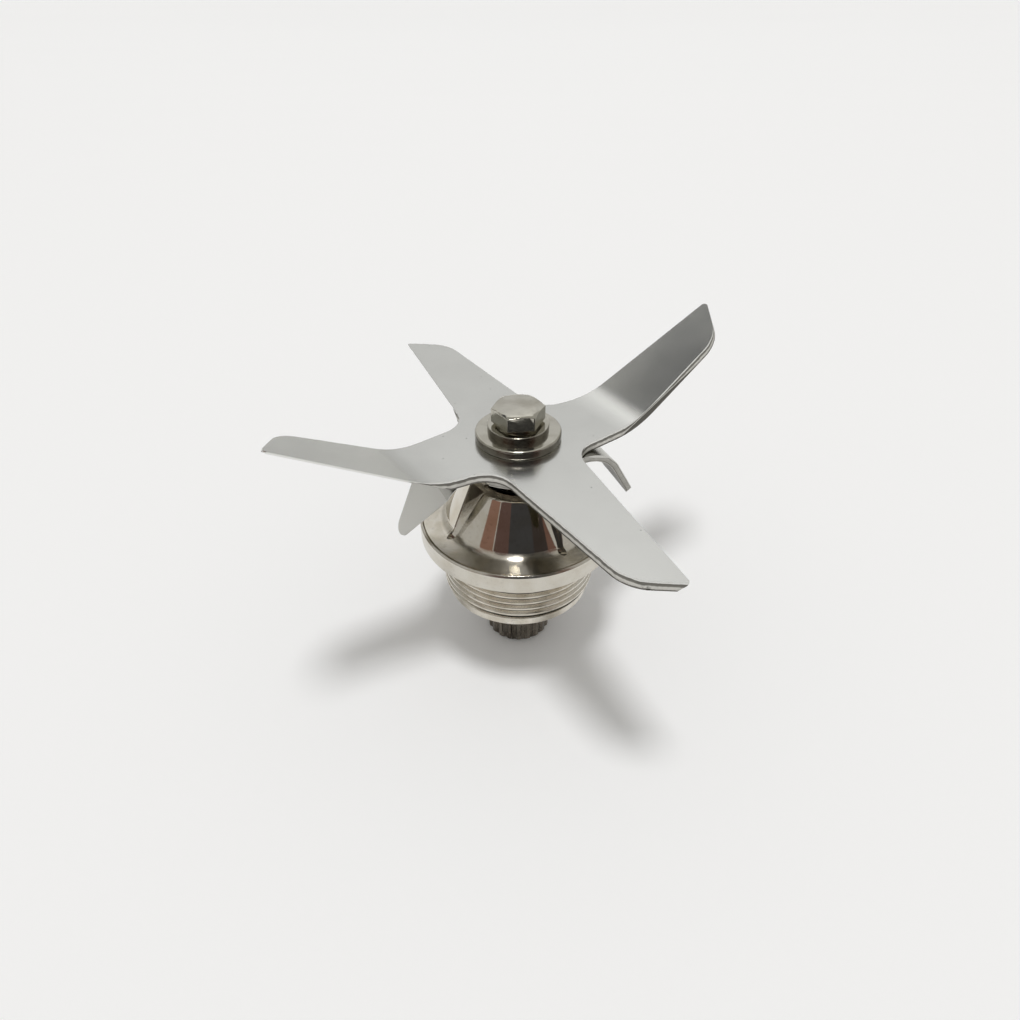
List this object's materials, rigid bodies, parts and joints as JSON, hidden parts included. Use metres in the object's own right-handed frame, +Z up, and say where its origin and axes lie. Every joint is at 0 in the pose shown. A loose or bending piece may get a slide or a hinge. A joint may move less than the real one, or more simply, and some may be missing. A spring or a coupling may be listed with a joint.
{
  "type": "blender blade assembly",
  "caption": "Blender blade assembly: bent and flat cutting arms bolted on a splined shaft that spins in sealed bearings inside a polished, fluted and threaded jar housing",
  "frame": {"origin": "on the shaft axis at the foot of the drive spline, where the part stands", "axes": "+Z runs up the shaft axis from the spline to the bolt head; +X is to the right and +Y away from the viewer in the picture"},
  "size_m": [0.0904, 0.0916, 0.0727],
  "materials": {
    "bolt_steel": "bare zinc-grey steel, slightly worn",
    "blade_steel": "satin stainless sheet, faintly brushed",
    "spacer_steel": "turned steel",
    "polished_nickel": "polished nickel plate",
    "shaft_steel": "dark bare steel",
    "seal_rubber": "matt black rubber",
    "bearing_steel": "ground bearing steel",
    "cage_brass": "machined brass",
    "sleeve_steel": "turned steel",
    "spring_steel": "black spring steel"
  },
  "bodies": {
    "jar_side": {"housing": "polished_nickel", "shaft_seal": "seal_rubber", "upper_outer_race": "bearing_steel", "upper_shields": "bearing_steel", "lower_outer_race": "bearing_steel", "lower_shields": "bearing_steel", "outer_sleeve": "sleeve_steel", "retaining_ring": "spring_steel"},
    "rotor": {"drive_shaft": "shaft_steel", "blade_spacer": "spacer_steel", "lower_blade": "blade_steel", "upper_blade": "blade_steel", "clamp_washer": "bolt_steel", "spring_washer": "bolt_steel", "hex_bolt": "bolt_steel", "inner_sleeve": "sleeve_steel", "upper_inner_race": "bearing_steel", "lower_inner_race": "bearing_steel"},
    "upper_ball_set": {"upper_balls": "bearing_steel", "upper_cage": "cage_brass"},
    "lower_ball_set": {"lower_balls": "bearing_steel", "lower_cage": "cage_brass"}
  },
  "joints": [
    {"name": "blade_spin", "type": "hinge", "parent": "jar_side", "child": "rotor", "pos_m": [0, 0, 0.035], "axis": [0, 0, 1], "continuous": true},
    {"name": "upper_ball_orbit", "type": "hinge", "parent": "jar_side", "child": "upper_ball_set", "pos_m": [0, 0, 0.035], "axis": [0, 0, 1], "continuous": true},
    {"name": "lower_ball_orbit", "type": "hinge", "parent": "jar_side", "child": "lower_ball_set", "pos_m": [0, 0, 0.0216], "axis": [0, 0, 1], "continuous": true}
  ],
  "couplings": [
    {"joint": "upper_ball_orbit", "follows": "blade_spin", "ratio": 0.4006},
    {"joint": "lower_ball_orbit", "follows": "blade_spin", "ratio": 0.4006}
  ]
}
